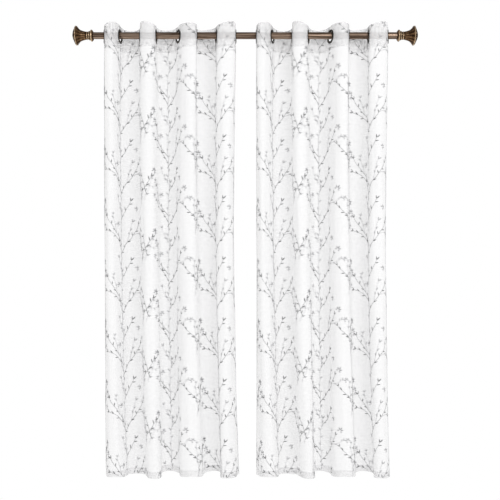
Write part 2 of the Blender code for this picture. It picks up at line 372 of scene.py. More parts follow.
def turn_between(a, b, out_of_a, into_b, reach):
    """Cubic curve from a to b whose two handles lie reach along the given directions."""
    return cubic(CURVE_POINTS, a, a + reach * out_of_a, b - reach * into_b, b)


def running_length(points):
    """Length along a line up to each of its points."""
    steps = np.linalg.norm(np.diff(points, axis=-2), axis=-1)
    return np.concatenate([np.zeros((*steps.shape[:-1], 1)), np.cumsum(steps, axis=-1)], axis=-1)


def read_along(lengths, along, points):
    """Places at the given lengths along a line in a plane, by straight shares of its points."""
    return np.stack([np.interp(lengths, along, points[:, k]) for k in (0, 1)], axis=-1)


def cloth_in_plan(heights, first_x, heading_leans):
    """Rows of points of the whole cloth in plan, evenly spaced along its width.

    Between two eyelets the line runs flat, turns on a cubic curve and runs flat again. The
    curve's handles are halved up and down until the whole is one pitch long.
    """
    centres, ways = fold_lines_at(heights, first_x, heading_leans)
    start, end = centres[:, :-1, None], centres[:, 1:, None]
    out, into = ways[:, :-1, None], ways[:, 1:, None]
    flat = half_flats(heights)[:, None, None, None]
    a, b = start + flat * out, end - flat * into
    low, high = np.zeros((*a.shape[:3], 1)), np.full((*a.shape[:3], 1), LONGEST_HANDLE)
    for _ in range(HALVINGS):
        reach = (low + high) / 2
        short = running_length(turn_between(a, b, out, into, reach))[..., -1:, None]
        short = short < EYELET_PITCH - 2 * flat
        low, high = np.where(short, reach, low), np.where(short, high, reach)
    span = np.concatenate([start, turn_between(a, b, out, into, reach), end], axis=2)
    along = running_length(span)
    along *= EYELET_PITCH / along[..., -1:]
    number = np.arange(along[..., 0].size).reshape(along.shape[:2])[..., None]
    wanted = (number + np.arange(PER_PITCH) * COLUMN_STEP).ravel()
    known = (number + along).ravel()
    inner = read_along(wanted, known, span.reshape(-1, 2)).reshape(len(heights), -1, 2)
    before = np.arange(PER_INSET, 0, -1)[:, None] * -COLUMN_STEP
    after = np.arange(PER_INSET + 1)[:, None] * COLUMN_STEP
    left = centres[:, :1] + before * ways[:, :1]
    right = centres[:, -1:] + after * ways[:, -1:]
    return np.concatenate([left, inner, right], axis=1)


# How many folds each column lies past the first eyelet, and the fold it is in
FOLDS_PAST = np.clip((ALONG - EYELET_INSET) / EYELET_PITCH, 0, EYELETS - 1)
IN_FOLD = np.minimum(FOLDS_PAST, EYELETS - 2).astype(int)


def rises(values, at_edge=0.0, beside_edge=0.0):
    """A rise for each column: 0 at an eyelet, and a sine squared up to each fold's value."""
    crest = values[IN_FOLD] * np.sin(np.pi * FOLDS_PAST) ** 2
    near = EYELET_INSET - FLAT_AT_EYELET
    edge = np.minimum(ALONG, PANEL_WIDTH - ALONG)
    return crest - np.interp(edge, (0, near, EYELET_INSET), (at_edge, beside_edge, 0))


def tips(values):
    """A tip for each column: one full sine over each fold, times that fold's value."""
    return values[IN_FOLD] * np.sin(2 * np.pi * FOLDS_PAST)


# %% [markdown]
# ## Creases
# Voile is limp but not smooth. Between the folds it keeps long soft creases where it was
# folded in its packet or pulled by an eyelet. They could be noise, but then they would run
# everywhere alike. Each is charted as a ridge or a trough with its own place, run,
# width and height, and a slow wave under them keeps any part from lying dead flat.

# %% Chart the creases
# Along the cloth at its top end and its foot, height of its two ends, half width, height
CREASES = (
    (0.020, 0.030, -0.10, -1.70, 0.010, 0.0016),
    (0.096, 0.118, -0.06, -0.95, 0.012, -0.0022),
    (0.140, 0.128, -0.50, -2.09, 0.010, 0.0020),
    (0.262, 0.240, -0.08, -0.80, 0.011, 0.0018),
    (0.300, 0.330, -0.60, -1.80, 0.013, -0.0024),
    (0.428, 0.452, -0.07, -1.20, 0.009, 0.0024),
    (0.470, 0.462, -0.90, -2.09, 0.012, -0.0020),
    (0.520, 0.545, -0.07, -0.70, 0.012, 0.0018),
    (0.628, 0.600, -0.30, -1.50, 0.011, -0.0022),
    (0.712, 0.742, -0.08, -2.00, 0.010, 0.0020),
    (0.800, 0.783, -0.06, -1.10, 0.010, -0.0024),
    (0.836, 0.862, -1.00, -2.09, 0.012, 0.0024),
    (0.905, 0.950, -0.12, -0.90, 0.012, 0.0018),
    (1.010, 0.985, -0.80, -1.90, 0.013, -0.0022),
    (1.092, 1.070, -0.07, -0.62, 0.010, 0.0018),
    (1.150, 1.182, -0.06, -1.60, 0.009, 0.0026),
    (1.205, 1.190, -0.70, -2.09, 0.011, -0.0022),
    (1.262, 1.284, -0.10, -1.30, 0.010, 0.0018),
)
# Waves along the width, waves down the length, share of a turn, height
SLOW_WAVES = (
    (9.0, 1.7, 0.10, 0.0010),
    (14.0, -2.3, 0.45, 0.0008),
    (23.0, 3.1, 0.80, 0.0006),
    (31.0, -1.1, 0.30, 0.0004),
)


# A crease's ends each take a fifth of its length to fade, but one at the foot runs out open
END_FADE, HEAD_START, OPEN_FOOT = 5, 0.2, -2.0
WAVE_SHIFT, STARTS_OVER = 7, 0.06


def crease_heights(shift):
    """How far the cloth stands off its fold, for every row and column.

    Each crease is a bell curve across its line, eased in and out at its two ends. The waves
    are sines in both directions. All of it starts below the eyelets.
    """
    z, u = ROW_HEIGHTS[:, None], ALONG[None, :]
    total = np.zeros((ROWS, COLUMNS))
    for top_u, foot_u, top, foot, half_width, height in CREASES:
        share = (top - z) / (top - foot)
        line = top_u + shift + np.clip(share, 0, 1) * (foot_u - top_u)
        fade = eased(share * END_FADE + HEAD_START)
        fade = fade * eased((1 - share) * END_FADE + (foot < OPEN_FOOT))
        total += height * fade * np.exp(-(((u - line) / half_width) ** 2))
    for across, down, turn, height in SLOW_WAVES:
        phase = across * u / PANEL_WIDTH + down * z / PANEL_DROP + turn + WAVE_SHIFT * shift
        total += height * np.sin(2 * np.pi * phase)
    return total * eased((HEADING_FOOT - z) / STARTS_OVER)


# %% Build each panel's surface
def surface_normals(points):
    """The direction square to the cloth at each point, on the side that faces the wall."""
    square = np.cross(np.gradient(points, axis=1), np.gradient(points, axis=0))
    return square / np.linalg.norm(square, axis=-1, keepdims=True)


def cloth_surface(first_x, heading_leans, shift):
    """Middle of the cloth as (rows, columns, 3) points, with its normals."""
    plan = cloth_in_plan(ROW_HEIGHTS, first_x, heading_leans)
    top_share = np.clip((ROW_HEIGHTS - FLAT_TOP) / (HEADING_RISE - FLAT_TOP), 0, 1)[:, None]
    down = share_down(ROW_HEIGHTS)[:, None]
    lift = down**2 * rises(HEM_RISES, EDGE_SAG, BESIDE_EDGE_SAG)
    lift += top_share * (rises(TOP_RISES) + tips(TOP_TIPS))
    points = np.concatenate([plan, (ROW_HEIGHTS[:, None] + lift)[..., None]], axis=-1)
    points += surface_normals(points) * crease_heights(shift)[..., None]
    return points, surface_normals(points)


CREASE_SHIFTS = {"left": 0.0, "right": 0.008}
surfaces = {}
for side, first_x, leans in PANELS:
    surfaces[side] = cloth_surface(first_x, leans, CREASE_SHIFTS[side])
    widest = np.linalg.norm(np.diff(surfaces[side][0], axis=1), axis=-1).sum(axis=1).max()
    print(side, "panel, longest row in m:", round(float(widest), 3))

# %% [markdown]
# ## Where each eyelet sits
# A loose eyelet hangs on the rod by the top of its hole. Seen along the rod its hole is an
# ellipse, because the cloth leans, so each one hangs a little differently.

# %% Find how far each eyelet hangs
RING_HOLE, RING_LIP = 0.0212, 0.0021
SOLID_RING_SIDES = 16
ROD_RADIUS = 0.015875
FIT_GAP = 0.0003
EDGE_PLACES, DROP_TRIALS = 361, 2000


def eyelet_drop(lean):
    """The largest drop of the hole's centre that keeps the hole's whole edge outside the rod.

    The hole's edge in plan is its circle's half width times the cosine of the lean, less the
    ring's thickness times the sine.
    """
    turn = math.radians(abs(lean))
    reach = RING_HOLE * math.cos(math.pi / SOLID_RING_SIDES)
    around = np.linspace(0, math.pi, EDGE_PLACES)
    across = reach * np.abs(np.cos(around)) * math.cos(turn) - RING_LIP * math.sin(turn)
    drops = np.linspace(0, reach, DROP_TRIALS)[:, None]
    nearest = np.hypot(np.maximum(0, across), reach * np.sin(around) - drops).min(axis=1)
    clear = nearest > ROD_RADIUS + FIT_GAP
    return float(drops[np.argmin(clear) - 1, 0])


drops = {side: np.array([eyelet_drop(lean) for lean in leans]) for side, _, leans in PANELS}
print("eyelets hang in mm:", np.round(drops["left"] * 1000, 1))

# %% [markdown]
# ## The voile
# Voile is a thin plain weave of fine hard-twisted yarn, so open that light passes between
# the threads. The openness is a plain Alpha on the shader: each sheet has two skins, and
# light that passes both has crossed the cloth once. The weave and the thick places in the
# yarn, called slubs, read the cloth's own UV map, which is in metres of flat cloth. At the
# heading a second layer lies over a stiff tape: it is less open, and glows with the light
# that sinks in at one face and comes out at the other, which Subsurface gives.

# %% Build the weave and the voile
WEAVE_PITCH = 0.0009
THREAD_MIDDLE, THREAD_SWING = 0.6, 0.4


def maths(tree, operation, first, second=None):
    """A Math node: each input is a socket or a number."""
    node = add_node(tree, "ShaderNodeMath", operation=operation)
    for index, value in enumerate((first, second)):
        if hasattr(value, "is_output"):
            tree.links.new(value, node.inputs[index])
        elif value is not None:
            node.inputs[index].default_value = value
    return node.outputs["Value"]


def plain_weave_group():
    """Rounded threads both ways: where one lies over, the other lies under."""
    tree, start, end = new_group(
        "plain_weave",
        (("Vector", "NodeSocketVector", None), ("Pitch", "NodeSocketFloat", WEAVE_PITCH)),
        (("Height", "NodeSocketFloat"),),
    )
    axes = add_node(tree, "ShaderNodeSeparateXYZ")
    tree.links.new(start.outputs["Vector"], axes.inputs["Vector"])
    turns = maths(tree, "DIVIDE", math.pi, start.outputs["Pitch"])
    warp = maths(tree, "SINE", maths(tree, "MULTIPLY", axes.outputs["X"], turns))
    weft = maths(tree, "SINE", maths(tree, "MULTIPLY", axes.outputs["Y"], turns))
    over = maths(tree, "MULTIPLY", maths(tree, "MULTIPLY", warp, weft), THREAD_SWING)
    heights = []
    for thread, way in ((warp, "ADD"), (weft, "SUBTRACT")):
        rounded = maths(tree, "ABSOLUTE", thread)
        heights.append(maths(tree, "MULTIPLY", rounded, maths(tree, way, THREAD_MIDDLE, over)))
    tree.links.new(maths(tree, "ADD", *heights), end.inputs["Height"])
    return tree


PLAIN_WEAVE = plain_weave_group()


def voile_material(name, pale, grey, alpha, glow_through=0.0):
    """Sheer plain weave, slightly greyer where the yarn is thin.

    The two colours mix by the slubs of warp and weft together. glow_through is the share of
    light that sinks in at one face and may leave by the other.
    """
    made, tree, shader = new_material(name, pale, 0.9, alpha=alpha)
    chart = add_node(tree, "ShaderNodeUVMap", uv_map="cloth")
    weave = use_group(tree, PLAIN_WEAVE)
    slubs = use_group(tree, DRAWN_NOISE, {"Scale": (260.0, 9.0, 1.0)})
    picks = use_group(tree, DRAWN_NOISE, {"Scale": (7.0, 300.0, 1.0)})
    for group in (weave, slubs, picks):
        tree.links.new(chart.outputs["UV"], group.inputs["Vector"])
    both = maths(tree, "ADD", slubs.outputs["Mask"], picks.outputs["Mask"])
    colours_by(tree, both, grey, pale, shader.inputs["Base Color"])
    spread_by(tree, weave.outputs["Height"], 0.95, 0.80, shader.inputs["Roughness"])
    bump_by(tree, weave.outputs["Height"], shader, 0.00005, 0.5)
    shader.inputs["Sheen Weight"].default_value = 0.15
    shader.inputs["Sheen Roughness"].default_value = 0.5
    shader.inputs["Subsurface Weight"].default_value = glow_through
    shader.inputs["Subsurface Radius"].default_value = (1.0, 1.0, 1.0)
    shader.inputs["Subsurface Scale"].default_value = 0.002
    return made


VOILE = voile_material("voile", (0.93, 0.925, 0.93), (0.905, 0.90, 0.905), 0.34)
HEADING_VOILE = voile_material("heading_voile", (0.90, 0.895, 0.90), (0.88, 0.875, 0.88), 0.40, 1.0)

# %% [markdown]
# ## Sheets with holes
# The panel is a closed sheet: one skin towards the room, one towards the wall, and a wall
# along every border. Cutting holes with a Boolean would break up the grid, so instead the
# cells inside each eyelet are left out and the corners round the gap are drawn onto a circle.

# %% Cut and close a sheet
HOLE_RADIUS = 0.02326
GRID = np.arange(ROWS * COLUMNS).reshape(ROWS, COLUMNS)
EYELET_ALONG = EYELET_INSET + np.arange(EYELETS) * EYELET_PITCH


def pierced(points, side, first_x, leans):
    """The points with the borders of the holes drawn onto circles, the cells that stay, and
    the flat-cloth place of each point as (along, down)."""
    flat = np.stack(np.meshgrid(ALONG, HEADING_RISE - ROW_HEIGHTS), axis=-1)
    middle = (flat[:-1, :-1] + flat[1:, 1:]) / 2
    points, keep = points.copy(), np.ones(middle.shape[:2], bool)
    _, ways = fold_lines_at(np.array([0.0]), first_x, leans)
    for number in range(EYELETS):
        centre = np.array((EYELET_ALONG[number], HEADING_RISE + drops[side][number]))
        gone = np.linalg.norm(middle - centre, axis=-1) < HOLE_RADIUS
        keep &= ~gone
        around = np.pad(gone, 1).astype(int)
        touching = around[:-1, :-1] + around[:-1, 1:] + around[1:, :-1] + around[1:, 1:]
        rim = (touching > 0) & (touching < 4)
        out = flat[rim] - centre
        flat[rim] = centre + out * HOLE_RADIUS / np.linalg.norm(out, axis=-1, keepdims=True)
        along = flat[rim][:, :1] - centre[0]
        line = np.array((first_x + FOLD_LINES[number, 0], 0.0)) + along * ways[0, number]
        points[rim] = np.concatenate([line, HEADING_RISE - flat[rim][:, 1:]], axis=1)
    return points, keep, flat


def closed_sheet(keep):
    """Quads of a near skin, a far skin and the walls along the borders of the kept cells."""
    a, b, c, d = GRID[:-1, :-1], GRID[:-1, 1:], GRID[1:, 1:], GRID[1:, :-1]
    far = ROWS * COLUMNS
    kept = np.stack([a[keep], b[keep], c[keep], d[keep]], axis=1)
    edge = np.pad(keep, 1)
    open_sides = (
        (a, b, ~edge[:-2, 1:-1]),
        (b, c, ~edge[1:-1, 2:]),
        (c, d, ~edge[2:, 1:-1]),
        (d, a, ~edge[1:-1, :-2]),
    )
    walls = []
    for first, second, outside in open_sides:
        p, q = first[keep & outside], second[keep & outside]
        walls.append(np.stack([p, q, q + far, p + far], axis=1))
    return np.concatenate([kept[:, ::-1], kept + far, *walls])


def sheet_piece(name, points, normals, keep, flat, near, far, finish):
    """A closed sheet between two distances from the cloth's middle, positive to the wall."""
    skins = np.concatenate([
        (points + normals * near).reshape(-1, 3),
        (points + normals * far).reshape(-1, 3),
    ])
    chart = np.tile(flat.reshape(-1, 2), (2, 1))
    return put_piece(name, skins, closed_sheet(keep), [finish], uv=chart)


# %% Make the panels with their headings and hems
HALF_CLOTH = 0.0002
FACING_NEAR, FACING_FAR = 0.00022, 0.00060
SIDE_HEM_COLUMNS = 3

cloths, trims = {}, {}
for side, first_x, leans in PANELS:
    points, normals = surfaces[side]
    points, keep, flat = pierced(points, side, first_x, leans)
    cloth = sheet_piece(
        f"cloth_{side}", points, normals, keep, flat, -HALF_CLOTH, HALF_CLOTH, VOILE
    )
    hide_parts(f"panel_{side}")
    row, column = np.indices(keep.shape)
    in_heading = keep & (row < HEADING_ROWS)
    at_side = np.minimum(column, COLUMNS - 2 - column) < SIDE_HEM_COLUMNS
    in_hem = ((row >= ROWS - 1 - HEM_ROWS) | at_side) & (row >= HEADING_ROWS)
    facing = sheet_piece(
        f"heading_{side}", points, normals, in_heading, flat, FACING_NEAR, FACING_FAR,
        HEADING_VOILE,
    )
    hem = sheet_piece(
        f"hem_{side}", points, normals, in_hem, flat, FACING_NEAR, FACING_FAR, VOILE
    )
    cloths[side], trims[side] = cloth, [facing, hem]

# %% [markdown]
# ## Bands that lie on the cloth
# Stitches and printed marks are both thin flat bands that follow the cloth. A picture on the
# cloth would blur when seen close, so each mark is a real band, charted on the flat cloth
# and carried onto the folds by reading the cloth's own grid between its points.

# %% Carry bands onto the folds
ROW_DROPS = HEADING_RISE - ROW_HEIGHTS
BORDER = 0.0012
RING_CLEAR = 0.0250


def on_grid(values, flat):
    """Values of the cloth's grid at flat-cloth places, by straight shares of four corners."""
    column = np.clip(flat[..., 0] / COLUMN_STEP, 0, COLUMNS - 1.001)
    row = np.clip(np.interp(flat[..., 1], ROW_DROPS, np.arange(ROWS)), 0, ROWS - 1.001)
    r, c = row.astype(int), column.astype(int)
    s, t = (row - r)[..., None], (column - c)[..., None]
    upper = values[r, c] * (1 - t) + values[r, c + 1] * t
    lower = values[r + 1, c] * (1 - t) + values[r + 1, c + 1] * t
    return upper * (1 - s) + lower * s


def on_cloth(flat, side):
    """True where a flat-cloth place is inside the borders and clear of every eyelet."""
    u, v = flat[..., 0], flat[..., 1]
    inside = (u > BORDER) & (u < PANEL_WIDTH - BORDER) & (v > BORDER) & (v < PANEL_DROP - BORDER)
    for along, drop in zip(EYELET_ALONG, drops[side]):
        inside &= np.hypot(u - along, v - HEADING_RISE - drop) > RING_CLEAR
    return inside


def left_of(paths):
    """The direction square to a path at each of its points: its own, turned a quarter round."""
    way = np.gradient(paths, axis=-2)
    way /= np.linalg.norm(way, axis=-1, keepdims=True)
    return np.stack([-way[..., 1], way[..., 0]], axis=-1)


def bands(side, paths, half_widths, proud):
    """Closed flat bands on a panel: points (n, 3) and quads (m, 4).

    paths is (bands, stations, 2) on the flat cloth, and half_widths (bands, stations). Each
    station has four corners, proud of the cloth's middle on both sides. A band stops where it
    would leave the cloth, with an end face there.
    """
    points, normals = surfaces[side]
    across = left_of(paths) * half_widths[..., None]
    left, right = paths + across, paths - across
    inside = on_cloth(left, side) & on_cloth(right, side)
    corners = []
    for edge, offset in ((left, -proud), (left, proud), (right, proud), (right, -proud)):
        corners.append(on_grid(points, edge) + on_grid(normals, edge) * offset)
    corners = np.stack(corners, axis=2)
    index = np.arange(corners[..., 0].size).reshape(corners.shape[:3])
    here, there = index[:, :-1], index[:, 1:]
    sound = inside[:, :-1] & inside[:, 1:]
    around = np.roll(np.arange(4), -1)
    quads = np.stack([here, here[..., around], there[..., around], there], axis=-1)
    padded = np.pad(sound, ((0, 0), (1, 1)))
    first = sound & ~padded[:, :-2]
    last = sound & ~padded[:, 2:]
    ends = [here[first][:, ::-1], there[last]]
    return corners.reshape(-1, 3), np.concatenate([quads[sound].reshape(-1, 4), *ends])


def joined(parts):
    """Several (points, quads) as one, with the number of each part's quads."""
    points = np.concatenate([p for p, _ in parts])
    offsets = np.cumsum([0] + [len(p) for p, _ in parts[:-1]])
    quads = np.concatenate([q + k for (_, q), k in zip(parts, offsets)])
    return points, quads, np.array([len(q) for _, q in parts])


# %% [markdown]
# ## Stitching
# The heading, the side hems and the foot hem are held by rows of lockstitch, about three
# stitches to the centimetre. Each stitch is one short band with narrow ends. Thread and ink
# share a finish: one tone each, with a gloss and a relief that change a little over the
# cloth, because both sink into the weave unevenly.

# %% Sew the hems
STITCH_PITCH, STITCH_LENGTH, STITCH_HALF_WIDTH = 0.0036, 0.0027, 0.00035
STITCH_PROUD = 0.00066
SEAM_IN, SEAM_END = 0.0020, 0.0040
STITCH_SWELL = np.array((0.4, 1.0, 0.4))


def stitch_row(start, end):
    """Stitches along a straight line on the flat cloth, as (stitches, 3, 2) paths."""
    start, end = np.array(start), np.array(end)
    length = np.linalg.norm(end - start)
    count = int(length / STITCH_PITCH)
    way = (end - start) / length
    firsts = start + (np.arange(count) * STITCH_PITCH)[:, None] * way
    steps = np.linspace(0, STITCH_LENGTH, 3)[:, None] * way
    return firsts[:, None] + steps


def lain_on_cloth(name, colour, grain, relief):
    """Ink or thread: one tone, with a roughness and a relief that vary over the cloth."""
    made, tree, shader = new_material(name, colour, 0.8)
    patches = noise_over(tree, (grain, grain, grain))
    spread_by(tree, patches, 0.95, 0.70, shader.inputs["Roughness"])
    bump_by(tree, patches, shader, relief)
    return made


THREAD = lain_on_cloth("thread", (0.66, 0.66, 0.67), 900.0, 0.00008)
left_u, right_u = SIDE_HEM_COLUMNS * COLUMN_STEP - SEAM_IN, PANEL_WIDTH - SEAM_END
right_seam_u = PANEL_WIDTH - left_u
heading_v, hem_v = HEADING_RISE - TAPE_FOOT, PANEL_DROP - HEM_DEPTH
seams = (
    ((SEAM_END, heading_v - SEAM_IN), (right_u, heading_v - SEAM_IN)),
    ((SEAM_END, hem_v + SEAM_IN), (right_u, hem_v + SEAM_IN)),
    ((left_u, heading_v), (left_u, hem_v)),
    ((right_seam_u, heading_v), (right_seam_u, hem_v)),
)
for side, _, _ in PANELS:
    paths = np.concatenate([stitch_row(start, end) for start, end in seams])
    widths = np.broadcast_to(STITCH_SWELL * STITCH_HALF_WIDTH, paths.shape[:2])
    points, quads = bands(side, paths, widths, STITCH_PROUD)
    trims[side].append(put_piece(f"stitching_{side}", points, quads, [THREAD]))

# %% [markdown]
# ## The printed twigs
# The cloth carries a repeat of budding twigs in soft greys: a tall stem that leans as it
# climbs, forks to both sides, small buds along every branch, two in a V at each tip, and a
# few open blossoms of five petals. It is charted, in millimetres, on one repeat, and
# the repeat is dropped by half its height from one column to the next. Stems, buds and petals
# are all bands of their own width, and the far marks of the design are in a paler ink.

# %% Chart one repeat
REPEAT_WIDTH, REPEAT_HEIGHT = 0.440, 0.285
# Four guide points of each stem (mm to the right, mm up), half its width at the foot and at
# the tip, and its tone: 0 for dark ink, 1 for pale
STEMS = (
    ((0, -72), (22, 10), (-12, 100), (18, 214), 0.88, 0.63, 1),
    ((3, 2), (26, 40), (74, 78), (126, 158), 1.01, 0.67, 0),
    ((62, 76), (72, 104), (70, 130), (88, 170), 0.80, 0.55, 1),
    ((94, 110), (118, 118), (140, 116), (166, 132), 0.71, 0.50, 1),
    ((4, 60), (-18, 96), (-66, 118), (-104, 190), 0.97, 0.63, 0),
    ((-50, 118), (-50, 146), (-72, 162), (-70, 198), 0.71, 0.50, 1),
    ((5, 26), (-6, 62), (-50, 108), (-108, 128), 0.84, 0.59, 0),
    ((12, 176), (30, 206), (64, 226), (78, 272), 0.88, 0.59, 0),
    ((16, 200), (8, 228), (-18, 240), (-26, 280), 0.71, 0.50, 1),
    ((214, -36), (226, 20), (198, 66), (208, 118), 0.80, 0.55, 1),
    ((215, 2), (236, 34), (258, 44), (282, 92), 0.92, 0.59, 0),
    ((252, 44), (276, 48), (292, 44), (312, 52), 0.67, 0.50, 1),
    ((208, 44), (190, 70), (168, 72), (150, 104), 0.80, 0.55, 0),
    ((-176, 148), (-196, 176), (-190, 204), (-214, 236), 0.97, 0.63, 0),
    ((-188, 176), (-206, 184), (-222, 182), (-236, 192), 0.71, 0.50, 0),
    ((-192, 128), (-182, 170), (-160, 186), (-158, 226), 0.67, 0.50, 1),
)
# Open blossoms: mm to the right, mm up, the way they open in degrees, size
BLOSSOMS = (
    (150, 178, 60, 1.1),
    (-30, 152, 120, 1.0),
    (-126, 212, 100, 1.1),
    (108, 232, 40, 0.9),
    (-134, 146, 150, 0.9),
    (190, 130, 130, 0.9),
    (300, 118, 30, 1.1),
    (-142, 262, 80, 1.0),
)
BUD_EVERY, BUD_SHIFT = 0.034, 0.007
FIRST_BUD, TIP_MARGIN, LOOK_BACK = 0.8, 0.008, 0.006
BUD_LENGTH, BUD_HALF_WIDTH, BUD_CLEAR = 0.0158, 0.0019, 0.0012
SMALLEST_BUD, LARGEST_BUD = 0.75, 1.3
CLOSE_LEAN, FAR_LEAN, TIP_SPREAD = 22.0, 48.0, 24.0
PETAL_LENGTH, PETAL_HALF_WIDTH, EYE_RADIUS = 0.0125, 0.0023, 0.0042
PETAL_FAN = np.array((-105, -52, -8, 40, 98))
PETAL_SIZES = np.array((0.65, 1.0, 1.15, 0.95, 0.7))
SPINDLE_SWELL = np.array((0.25, 0.90, 1.00, 0.75, 0.15))
STEM_POINTS, STATION_STEP = 60, 0.007
ZIGZAG = 0.0012
marks = np.random.default_rng(17)


def stem_path(guides):
    """A cubic curve led by a stem's guide points, in metres, that sways a little at each bud."""
    fine = cubic(STEM_POINTS, *(np.array(guides) / 1000))
    along = running_length(fine)
    fine = fine + ZIGZAG * np.sin(np.pi * along / BUD_EVERY)[:, None] * left_of(fine)
    steps = np.linspace(0, along[-1], int(along[-1] / STATION_STEP) + 2)
    return read_along(steps, along, fine)


def ways_of(angles):
    """Directions in a plane: the cosine and the sine of each angle."""
    return np.stack([np.cos(angles), np.sin(angles)], axis=-1)


def spindles(bases, angles, lengths, half_widths):
    """Buds, petals or leaves: bands that swell from their base and close at their tip."""
    share = np.linspace(0, 1, len(SPINDLE_SWELL))
    paths = bases[:, None] + ways_of(angles)[:, None] * (lengths[:, None] * share)[..., None]
    return paths, half_widths[:, None] * SPINDLE_SWELL


def buds_along(path, number):
    """Buds on alternate sides of a stem, and two in a V at its tip.

    About half of them lie close to the stem and the others lean far out, as new shoots do.
    """
    along = running_length(path)
    places = np.arange(BUD_EVERY * FIRST_BUD, along[-1] - TIP_MARGIN, BUD_EVERY)
    places = places + marks.uniform(-BUD_SHIFT, BUD_SHIFT, len(places))
    turns = np.radians(np.where(marks.random(len(places)) < 0.5, CLOSE_LEAN, FAR_LEAN))
    turns = turns * np.where((np.arange(len(places)) + number) % 2 == 0, 1.0, -1.0)
    places = np.append(places, [along[-1], along[-1]])
    turns = np.append(turns, np.radians((TIP_SPREAD, -TIP_SPREAD)))
    at = read_along(places, along, path)
    way = np.arctan2(*(at - read_along(places - LOOK_BACK, along, path)).T[::-1])
    lean = way + turns
    size = marks.uniform(SMALLEST_BUD, LARGEST_BUD, len(places))
    return at + BUD_CLEAR * ways_of(lean), lean, BUD_LENGTH * size, BUD_HALF_WIDTH * size


def blossom_petals(x, y, opens, size):
    """Five petals fanned round the way a blossom opens, clear of each other at its eye."""
    fan = np.radians(opens + PETAL_FAN)
    bases = np.tile((x / 1000, y / 1000), (len(fan), 1))
    bases = bases + EYE_RADIUS * size * ways_of(fan)
    lengths = PETAL_LENGTH * size * PETAL_SIZES
    return bases, fan, lengths, np.full(len(fan), PETAL_HALF_WIDTH * size)


stem_paths = [stem_path(row[:4]) for row in STEMS]
stem_widths = [np.linspace(row[4], row[5], len(p)) / 1000 for row, p in zip(STEMS, stem_paths)]
tones = [row[6] for row in STEMS]
buds = [buds_along(path, number) for number, path in enumerate(stem_paths)]
bud_sets = []
for tone in (0, 1):
    chosen = [one for one, own in zip(buds, tones) if own == tone]
    bud_sets.append(spindles(*[np.concatenate(k) for k in zip(*chosen)]))
petals = [blossom_petals(*row) for row in BLOSSOMS]
petal_set = spindles(*[np.concatenate(k) for k in zip(*petals)])
print("one repeat:", len(stem_paths), "stems,", sum(len(p) for p, _ in bud_sets), "buds")

# %% Print the repeat over both panels
INK_PROUD = 0.00036
PRINT_PHASE = 0.10
REPEAT_COLUMNS, REPEAT_ROWS = range(-1, 4), range(-1, 10)
# Places in INKS of the dark buds, the pale buds and the petals; a stem's tone is its place
MARK_INKS = (2, 3, 4)


def repeats():
    """Flat-cloth place of each repeat's foot: columns, each half a repeat lower by turns."""
    places = []
    for column in REPEAT_COLUMNS:
        lowered = REPEAT_HEIGHT / 2 if column % 2 == 0 else 0.0
        for row in REPEAT_ROWS:
            u = REPEAT_WIDTH * (column + 0.5)
            places.append((u, row * REPEAT_HEIGHT + lowered + PRINT_PHASE))
    return np.array(places)


def printed(side, paths, widths):
    """One kind of mark at every repeat: up the chart is down the other way on the cloth."""
    flat = paths * np.array((1.0, -1.0))
    everywhere = (repeats()[:, None, None] + flat[None]).reshape(-1, *paths.shape[1:])
    wide = np.tile(widths, (len(repeats()), 1))
    near = on_cloth(everywhere, side)
    some = near.sum(axis=1) > 1
    return bands(side, everywhere[some], wide[some], INK_PROUD)


INKS = [
    lain_on_cloth(name, tone, 260.0, 0.00003)
    for name, tone in (
        ("stem_ink", (0.16, 0.16, 0.165)),
        ("pale_stem_ink", (0.42, 0.42, 0.43)),
        ("bud_ink", (0.14, 0.14, 0.145)),
        ("pale_bud_ink", (0.38, 0.38, 0.39)),
        ("petal_ink", (0.30, 0.30, 0.31)),
    )
]
for side, _, _ in PANELS:
    parts = [printed(side, p[None], w[None]) for p, w in zip(stem_paths, stem_widths)]
    parts.extend(printed(side, *marks_of) for marks_of in (*bud_sets, petal_set))
    points, quads, counts = joined(parts)
    choices = np.repeat([*tones, *MARK_INKS], counts)
    trims[side].append(put_piece(f"twigs_{side}", points, quads, INKS, choices=choices))

# %% [markdown]
# ## The rod
# A steel tube lacquered in brushed bronze: the brush leaves fine streaks along it. It could
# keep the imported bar, but that has 32 flats. A profile of its ends' small roundings, carried
# once round, gives a true round bar of the same size.

# %% Turn the rod
ROD_LENGTH = 1.440
ROD_SIDES = 96
END_ROUND = 0.0008


def turned(profile, sides):
    """Points and quads of a profile of (distance along, radius), carried once round X.

    Its first and last rings are closed by flat end faces, returned as lists of corners.
    """
    along, radius = np.array(profile).T
    angle = np.arange(sides) * 2 * np.pi / sides
    grid = np.stack([
        np.repeat(along[:, None], sides, axis=1),
        radius[:, None] * np.cos(angle),
        radius[:, None] * np.sin(angle),
    ], axis=-1)
    index = np.arange(len(along) * sides).reshape(len(along), sides)
    here, after = index[:-1], index[1:]
    quads = np.stack([here, np.roll(here, -1, 1), np.roll(after, -1, 1), after], axis=-1)
    return grid, quads.reshape(-1, 4), [index[0][::-1].tolist(), index[-1].tolist()]


half = ROD_LENGTH / 2
quarter = np.linspace(0, math.pi / 2, 4)
rounding = np.stack([
    half - END_ROUND + END_ROUND * np.sin(quarter),
    ROD_RADIUS - END_ROUND + END_ROUND * np.cos(quarter),
], axis=-1)
rod_profile = np.concatenate([rounding[::-1] * (-1, 1), rounding])

